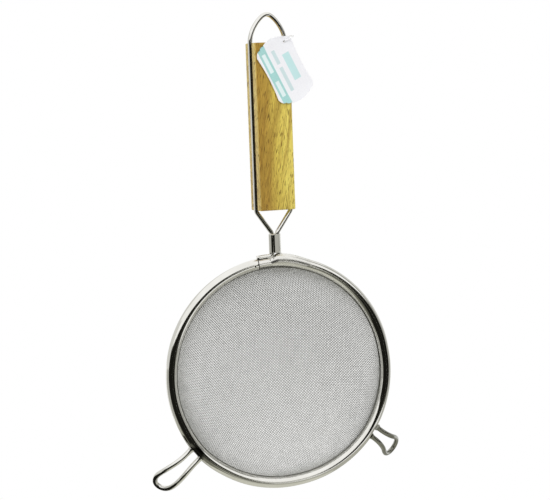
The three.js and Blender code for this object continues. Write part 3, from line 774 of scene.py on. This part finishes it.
# Welds: a saddle over the right foot, lines of painted shade, the spot weld and spatter
def weld_saddle():
    stations = []
    for deg in np.linspace(*SADDLE_DEG, 60):
        swell = smooth_step(deg, *SADDLE_RISE_DEG) * (1 - smooth_step(deg, *SADDLE_FALL_DEG))
        tube_r = taper_radius(deg) - SADDLE_SINK + SADDLE_SWELL * swell
        stations.append((deg, RIM_R + SADDLE_LIFT * swell, tube_r))
    return skin(np.array([rim_section(*station) for station in stations]))


def shade_lines_and_spot_weld():
    # The ring at the seam and the line under the foot are painted shade
    a = np.linspace(0, 2 * math.pi, 40)[:-1]
    mid = SPIGOT_R + SEAM_LINE_RAISE
    ring = on_rim(SEAM_LINE_DEG, RIM_R + mid * np.cos(a), mid * np.sin(a))
    seam_shade_ring = skin(tube_rings(ring, SEAM_LINE_R, 8, hoop=True), hoop=True)
    under = on_rim(np.linspace(*FOOT_LINE_DEG, 16), *FOOT_LINE_AT)
    spot = blob(on_tube(*SPOT_WELD_AT), SPOT_WELD_R)
    return join(seam_shade_ring, skin(tube_rings(under, FOOT_LINE_R, 8)), spot)


def weld_spatter():
    return join(*[blob(on_tube(deg, turn, SPATTER_DEPTH), size) for deg, turn, size in SPATTER])


# Rest hooks: a loop drawn flat, then bent back from the rim
def rest_hook(angle_deg, bend_radius, lean_deg, start, neck, wire_r):
    """Its legs begin at start and stand neck to each side of its middle at the rim."""
    end = HOOK_LENGTH - HOOK_ROUND_END
    t = np.linspace(0, 1, 41)[:-1]
    edge = np.stack([end * t, neck + (HOOK_BELLY - neck) * smooth_step(t, HOOK_WAIST, 1)], axis=1)
    a = np.linspace(math.pi / 2, -math.pi / 2, 41)
    tip = np.stack([end + HOOK_ROUND_END * np.cos(a), HOOK_BELLY * np.sin(a)], axis=1)
    root = [[start + x, neck] for x in (0.0, 0.4, 0.8, 1.2, 1.8)]
    edge = np.concatenate([root, edge[len(root):]])
    flat = np.concatenate([edge, tip, edge[::-1] * [1, -1]])
    along, across = flat[:, 0], flat[:, 1]
    turned = np.clip((along - HOOK_STRAIGHT) / bend_radius, 0, HOOK_SWEEP)
    tail = np.maximum(along - HOOK_STRAIGHT - bend_radius * HOOK_SWEEP, 0)
    out = np.minimum(along, HOOK_STRAIGHT) + bend_radius * np.sin(turned) + tail * math.cos(HOOK_SWEEP)
    back = bend_radius * (1 - np.cos(turned)) + tail * math.sin(HOOK_SWEEP)
    aim = math.radians(angle_deg + lean_deg)
    outward = np.array([math.sin(aim), 0, math.cos(aim)])
    sideways = np.array([math.cos(aim), 0, -math.sin(aim)])
    foot = on_rim(angle_deg, RIM_OUTER_R - HOOK_SINK, 0.0)
    path = foot + out[:, None] * outward + across[:, None] * sideways
    path = path + back[:, None] * np.array([0, 1.0, 0])
    steps = np.linalg.norm(np.diff(path, axis=0), axis=1)
    run = np.concatenate([[0], np.cumsum(steps)])
    from_end = np.minimum(run, run[-1] - run)
    radii = wire_r + HOOK_WELD_FLARE * np.exp(-((from_end / HOOK_WELD_REACH) ** 2))
    return skin(tube_rings(path, radii, 20))


# Woven mesh: a flat weave laid over the bowl by its distance from the middle
def bowl_lengths(phi):
    """The distance along the bowl from its middle to each angle."""
    steps = np.hypot(BOWL_R * np.cos(phi), BOWL_DEPTH * np.sin(phi))
    return np.concatenate([[0], np.cumsum((steps[1:] + steps[:-1]) / 2 * np.diff(phi))])


def bowl_point(u, v):
    """The point and normal of the bowl where a point of the flat weave comes to lie."""
    phi = np.linspace(0, math.pi / 2, 400)
    at = np.interp(np.hypot(u, v), bowl_lengths(phi), phi)
    turn = np.arctan2(v, u) + math.radians(MESH_TURN_DEG)
    r = BOWL_R * np.sin(at)
    point = np.stack([r * np.cos(turn), BOWL_DEPTH * np.cos(at), RIM_Z + r * np.sin(turn)], axis=-1)
    lean = unit(np.stack([BOWL_DEPTH * np.sin(at), BOWL_R * np.cos(at)], axis=-1))
    normal = np.stack([lean[..., 0] * np.cos(turn), lean[..., 1], lean[..., 0] * np.sin(turn)], axis=-1)
    return point, normal


def woven_wire(line, swap, radius):
    """One wire of the mesh, passing over and under the wires that cross it."""
    offset = line * MESH_PITCH
    half = math.sqrt(max(radius ** 2 - offset ** 2, 0))
    last = int(half / MESH_PITCH)
    steps = np.arange(-last, last + 1)
    lift = np.where((steps + line) % 2 == 0, 1.0, -1.0) * (-1.0 if swap else 1.0) * MESH_WIRE_R
    along = np.concatenate([[-half], steps * MESH_PITCH, [half]])
    lift = np.concatenate([[0], lift, [0]])
    across = np.full(len(along), offset)
    point, normal = bowl_point(across, along) if swap else bowl_point(along, across)
    point = point + normal * lift[:, None]
    tangent = unit(np.gradient(point, axis=0))
    side = unit(np.cross(tangent, normal))
    up = np.cross(side, tangent)
    angles = np.arange(4) * math.pi / 2
    c, s = np.cos(angles)[None, :, None], np.sin(angles)[None, :, None]
    ring = c * side[:, None, :] + s * up[:, None, :]
    return skin(point[:, None, :] + MESH_WIRE_R * ring)


def woven_mesh():
    edge = math.acos(MESH_EDGE_Y / BOWL_DEPTH)
    radius = float(bowl_lengths(np.linspace(0, edge, 400))[-1])
    count = int((radius - MESH_PITCH) / MESH_PITCH)
    halves = {"left": range(-count, 0), "right": range(0, count + 1)}
    for swap, family in ((False, "warp"), (True, "weft")):
        for half, lines in halves.items():
            shape = join(*[woven_wire(line, swap, radius) for line in lines])
            name = f"mesh_{family}_{half}"
            add_piece(name, shape, MESH_STEEL, ["mesh_bowl"], sharp_deg=180)


# Swing tag: scalloped ends, a slight waist and curl, drawn flat and then hung by its hole
def swing_tag():
    across = np.concatenate([[-v for v, _ in TAG_END_EDGE[:0:-1]], [v for v, _ in TAG_END_EDGE]])
    reach = np.interp(np.abs(across), *zip(*TAG_END_EDGE))
    share = np.linspace(-1, 1, 41)
    u = reach[:, None] * share[None, :]
    v = across[:, None] * (1 - TAG_WAIST * (1 - share[None, :] ** 2))
    curl = TAG_CURL * (u / TAG_HALF_L) ** 2 - TAG_CURL * TAG_FLAT_SHARE
    front = np.stack([u, v, np.maximum(curl, 0)], axis=-1)
    back = front - [0, 0, TAG_THICKNESS]
    rows, columns = u.shape
    index = np.arange(rows * columns).reshape(rows, columns)
    top = [index[:-1, :-1], index[:-1, 1:], index[1:, 1:], index[1:, :-1]]
    faces = np.stack(top, axis=-1).reshape(-1, 4)
    edge = np.concatenate([index[0, :-1], index[:-1, -1], index[-1, :0:-1], index[:0:-1, 0]])
    lower = rows * columns
    walls = np.stack([edge, edge + lower, np.roll(edge, -1) + lower, np.roll(edge, -1)], axis=1)
    shape = np.concatenate([front.reshape(-1, 3), back.reshape(-1, 3)])
    all_faces = [*faces.tolist(), *(faces[:, ::-1] + lower).tolist(), *walls.tolist()]
    card = make_object("swing_tag_card", shape, all_faces, CARD)
    punch_hole(card)
    hang = Matrix.Rotation(math.radians(90), 4, "X") @ Matrix.Rotation(-TAG_SLOPE, 4, "Z")
    hole_at = hang @ Vector((TAG_HOLE[0] * MM, TAG_HOLE[1] * MM, 0))
    front_y = TAG_BACK_Y - TAG_THICKNESS
    place = Vector((TAG_HOLE_X * MM, front_y * MM, TAG_HOLE_Z * MM)) - hole_at
    card.matrix_world = Matrix.Rotation(HANDLE_TURN, 4, "Z") @ Matrix.Translation(place) @ hang
    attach(card, "hang_tag")
    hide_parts("swing_tag")


def punch_hole(card):
    a = np.arange(24) * 2 * math.pi / 24
    ring = np.array(TAG_HOLE) + TAG_HOLE_R * np.stack([np.cos(a), np.sin(a)], axis=1)
    rings = np.array([np.column_stack([ring, np.full(24, z)]) for z in (-5.0, 5.0)])
    punch = make_object("tag_punch", *skin(rings), CARD)
    cut = card.modifiers.new("hole", "BOOLEAN")
    cut.operation = "DIFFERENCE"
    cut.object = punch
    bpy.context.view_layer.update()
    punched = bpy.data.meshes.new_from_object(card.evaluated_get(bpy.context.evaluated_depsgraph_get()))
    card.modifiers.clear()
    card.data = punched
    bpy.data.objects.remove(punch)


def tag_tie():
    across = np.array([math.sin(TAG_SLOPE), 0, math.cos(TAG_SLOPE)])
    inner = np.array([TAG_HOLE_X, 0, TAG_HOLE_Z])
    outer = inner + across * TIE_WIDTH
    back = WIRE_R + TIE_CLEARANCE + TIE_R
    front = TAG_BACK_Y - TAG_THICKNESS - TIE_STANDOFF

    def at(point, y):
        return np.array([point[0], y, point[2]])

    corners = [at(inner, front), at(inner, back), at(outer, back), at(outer, front)]
    radii = [TIE_FRONT_BEND, TIE_BACK_BEND, TIE_BACK_BEND, TIE_FRONT_BEND]
    path = [bend(corners[i - 1], corners[i], corners[(i + 1) % 4], radii[i], 8) for i in range(4)]
    return skin(tube_rings(on_handle(np.concatenate(path)), TIE_R, 12, hoop=True), hoop=True)


# Pieces
add_piece("handle_wire_round", handle_wire(), POLISHED, ["handle_wire"])
grip = wooden_grip()
add_piece("wooden_grip_block", grip, WOOD, ["wooden_grip"], sharp_deg=40, turn=HANDLE_TURN)
add_piece("neck_sleeve_crimp", neck_sleeve(), POLISHED, ["neck_sleeve"], sharp_deg=80)
add_piece("rim_tube_round", rim_tube(), RIM_STEEL, ["rim_tube"])
add_piece("rim_lip_edge", rim_lip(), LIP_SHADE_STEEL)
add_piece("rim_weld_saddle", weld_saddle(), SMOOTH_WELD)
add_piece("rim_shade_lines_and_spot_weld", shade_lines_and_spot_weld(), SHADE_AND_SOOT)
add_piece("rim_weld_spatter", weld_spatter(), WELD)
left_hook = rest_hook(**LEFT_HOOK)
right_hook = rest_hook(**RIGHT_HOOK)
add_piece("rest_hook_left_wire", left_hook, POLISHED, ["rest_hook_left"])
add_piece("rest_hook_right_wire", right_hook, DARK_HOOK, ["rest_hook_right"])
add_piece("tag_tie_loop", tag_tie(), NYLON, ["tag_tie"], body="tag_loop")
woven_mesh()
swing_tag()

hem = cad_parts["hem_wire"]
hem.data.materials.clear()
hem.data.materials.append(SATIN)


# Stage: a pale floor fading to the white background, soft lamps, and cards that only reflections see
def floor_material():
    material = bpy.data.materials.new("pale_floor")
    material.use_nodes = True
    tree = material.node_tree
    shader = tree.nodes["Principled BSDF"]
    shader.inputs["Base Color"].default_value = (0.86, 0.86, 0.86, 1)
    shader.inputs["Roughness"].default_value = 0.9
    white = tree.nodes.new("ShaderNodeEmission")
    white.inputs["Strength"].default_value = 1.0
    coords = tree.nodes.new("ShaderNodeTexCoord")
    length = tree.nodes.new("ShaderNodeVectorMath")
    length.operation = "LENGTH"
    tree.links.new(coords.outputs["Object"], length.inputs[0])
    fade = remap(tree, length.outputs["Value"], *FLOOR_FADE, 0.0, 1.0)
    blend = tree.nodes.new("ShaderNodeMixShader")
    tree.links.new(product(tree, fade, seen_rays(tree)), blend.inputs["Fac"])
    tree.links.new(shader.outputs["BSDF"], blend.inputs[1])
    tree.links.new(white.outputs["Emission"], blend.inputs[2])
    tree.links.new(blend.outputs["Shader"], tree.nodes["Material Output"].inputs["Surface"])
    return material


def add_floor():
    corners = [(x * FLOOR_HALF, y * FLOOR_HALF, 0) for x, y in SQUARE]
    mesh = bpy.data.meshes.new("floor")
    mesh.from_pydata(corners, [], [(0, 1, 2, 3)])
    mesh.materials.append(floor_material())
    obj = bpy.data.objects.new("floor", mesh)
    bpy.context.scene.collection.objects.link(obj)
    obj.location.z = FLOOR_Z * MM


def add_world():
    world = bpy.data.worlds.new("studio")
    world.use_nodes = True
    tree = world.node_tree
    ambient = tree.nodes["Background"]
    ambient.inputs["Color"].default_value = (1, 1, 1, 1)
    ambient.inputs["Strength"].default_value = AMBIENT
    white = tree.nodes.new("ShaderNodeBackground")
    white.inputs["Color"].default_value = (1, 1, 1, 1)
    white.inputs["Strength"].default_value = 1.0
    blend = tree.nodes.new("ShaderNodeMixShader")
    tree.links.new(seen_rays(tree), blend.inputs["Fac"])
    tree.links.new(ambient.outputs["Background"], blend.inputs[1])
    tree.links.new(white.outputs["Background"], blend.inputs[2])
    tree.links.new(blend.outputs["Shader"], tree.nodes["World Output"].inputs["Surface"])
    bpy.context.scene.world = world


def add_lamp(name, location, size, watts):
    lamp = bpy.data.lights.new(name, "AREA")
    lamp.shape = "SQUARE"
    lamp.size = size
    lamp.energy = watts
    obj = bpy.data.objects.new(name, lamp)
    bpy.context.scene.collection.objects.link(obj)
    obj.location = location
    aim = Vector(LAMP_TARGET) - Vector(location)
    obj.rotation_euler = aim.to_track_quat("-Z", "Y").to_euler()
    obj.visible_glossy = False


def toward(az, el):
    """The direction at an azimuth and an elevation in radians; azimuth 0 is the front."""
    return Vector((math.sin(az) * math.cos(el), -math.cos(az) * math.cos(el), math.sin(el)))


def facing(az, el):
    """The direction with the right and the up that belong to it."""
    away = toward(az, el)
    right = Vector((math.cos(az), math.sin(az), 0))
    return away, right, away.cross(right)


def add_wall_card(name, colour, az, el, radius):
    """A studio card that is part of a ball round the strainer."""
    columns, rows = 13, 9
    turns = np.radians(np.linspace(*az, columns))
    rises = np.radians(np.linspace(*el, rows))
    verts = [CARD_CENTRE + radius * toward(a, e) for e in rises for a in turns]
    faces = []
    for k in range(rows - 1):
        for i in range(k * columns, (k + 1) * columns - 1):
            faces.append((i, i + 1, i + columns + 1, i + columns))
    stage_card(name, colour, verts, faces)


def add_floor_card(name, colour, near, az, lift, far):
    """A studio card on the floor; its near and far edges are elevations seen from the rim's middle."""
    count = 25
    turns = np.radians(np.linspace(*az, count))
    z = FLOOR_Z * MM + lift
    drop = RIM_Z * MM - z
    verts = []
    for edge in (np.linspace(*near, count), np.full(count, far)):
        reach = drop / np.tan(np.radians(-edge))
        verts.extend((r * math.sin(a), -r * math.cos(a), z) for r, a in zip(reach, turns))
    faces = [(i, i + 1, count + 1 + i, count + i) for i in range(count - 1)]
    stage_card(name, colour, verts, faces)


def add_flag(name, colour, target, az, el, distance, half):
    """A small flat studio card near one piece, seen from it in the given direction."""
    away, right, up = facing(math.radians(az), math.radians(el))
    centre = Vector(target) + away * distance
    verts = [centre + (right * s + up * t) * half for s, t in SQUARE]
    stage_card(name, colour, verts, [(0, 1, 2, 3)])


def stage_card(name, colour, verts, faces):
    """A glowing stage card that only reflections see."""
    material = bpy.data.materials.new(name)
    material.use_nodes = True
    tree = material.node_tree
    glow = tree.nodes.new("ShaderNodeEmission")
    glow.inputs["Color"].default_value = (*colour, 1)
    tree.links.new(glow.outputs["Emission"], tree.nodes["Material Output"].inputs["Surface"])
    mesh = bpy.data.meshes.new(name)
    mesh.from_pydata(verts, [], faces)
    mesh.materials.append(material)
    obj = bpy.data.objects.new(name, mesh)
    bpy.context.scene.collection.objects.link(obj)
    obj.visible_camera = False
    obj.visible_diffuse = False
    obj.visible_shadow = False
    obj.visible_transmission = False


def add_camera():
    az, el, roll = (math.radians(d) for d in (CAMERA_AZ_DEG, CAMERA_EL_DEG, CAMERA_ROLL_DEG))
    back, right, up = facing(az, el)
    right_rolled = right * math.cos(roll) + up * math.sin(roll)
    up_rolled = up * math.cos(roll) - right * math.sin(roll)
    data = bpy.data.cameras.new("camera")
    data.sensor_width = SENSOR_WIDTH
    data.lens = CAMERA_FOCAL_PX / FRAME_WIDTH_PX * SENSOR_WIDTH
    obj = bpy.data.objects.new("camera", data)
    bpy.context.scene.collection.objects.link(obj)
    axes = Matrix((right_rolled, up_rolled, back)).transposed().to_4x4()
    place = Vector((0, 0, CAMERA_TARGET_Z * MM)) + back * CAMERA_DISTANCE * MM
    obj.matrix_world = Matrix.Translation(place) @ axes
    bpy.context.scene.camera = obj


add_floor()
add_world()
for lamp_values in LAMPS:
    add_lamp(*lamp_values)
for card_values in WALL_CARDS:
    add_wall_card(*card_values)
for card_values in FLOOR_CARDS:
    add_floor_card(*card_values)
add_flag(*HOOK_FLAG)
add_camera()
bpy.context.scene.view_settings.view_transform = "Standard"
